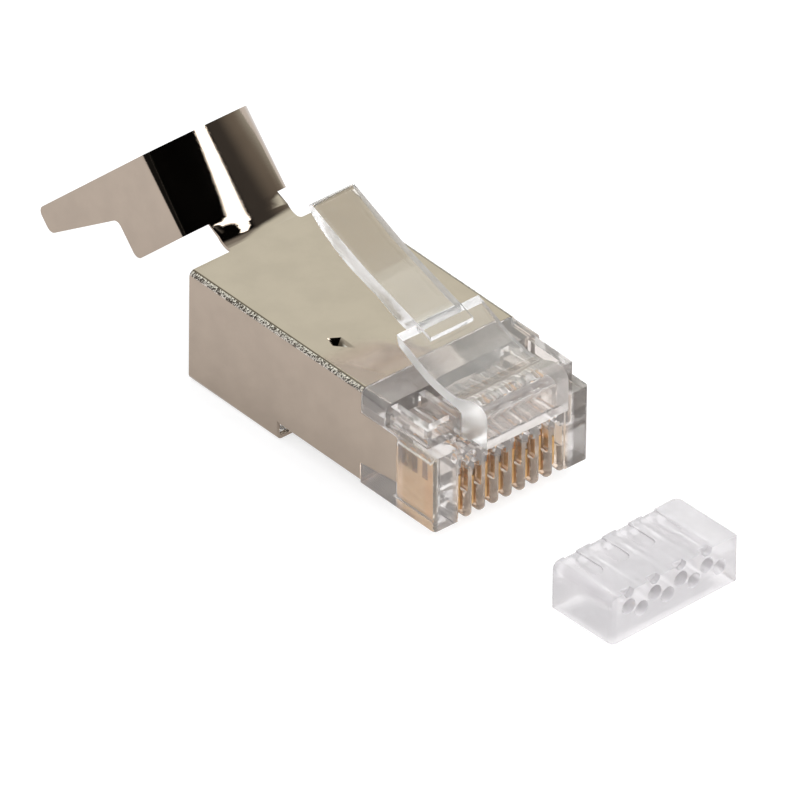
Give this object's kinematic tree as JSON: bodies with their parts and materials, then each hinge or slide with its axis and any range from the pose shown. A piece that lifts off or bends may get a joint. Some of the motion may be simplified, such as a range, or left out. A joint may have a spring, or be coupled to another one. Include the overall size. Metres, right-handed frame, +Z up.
{
  "type": "shielded modular ethernet plug",
  "caption": "Shielded modular network plug: clear housing with a springy latch, gold blade contacts, folded metal shield with a strain-relief tail, and a loose load bar.",
  "frame": {"origin": "middle of the flat seat under the shield's rear band, on the surface that the plug rests on", "axes": "+Z up through the latch, -Y out of the nose towards the jack, +Y back to the cable, +X to the right seen from the nose"},
  "size_m": [0.0116, 0.0514, 0.0137],
  "materials": {
    "clear_plastic": "clear polycarbonate, moulded and polished",
    "guide_plastic": "clear polycarbonate, slightly frosted",
    "nickel_sheet": "nickel-plated brass sheet, bright",
    "gold_contact": "gold-plated phosphor bronze"
  },
  "bodies": {
    "plug": {"housing": "clear_plastic", "shield": "nickel_sheet", "load_bar": "guide_plastic", "contact_blade_1": "gold_contact", "contact_blade_2": "gold_contact", "contact_blade_3": "gold_contact", "contact_blade_4": "gold_contact", "contact_blade_5": "gold_contact", "contact_blade_6": "gold_contact", "contact_blade_7": "gold_contact", "contact_blade_8": "gold_contact"},
    "latch": {"latch_lever": "clear_plastic"}
  },
  "joints": [
    {"name": "latch_flex", "type": "hinge", "parent": "plug", "child": "latch", "pos_m": [0, -0.01709, 0.00835], "axis": [-1, 0, 0], "range_deg": [0, 10], "stiffness_Nm_per_rad": 0.3}
  ]
}
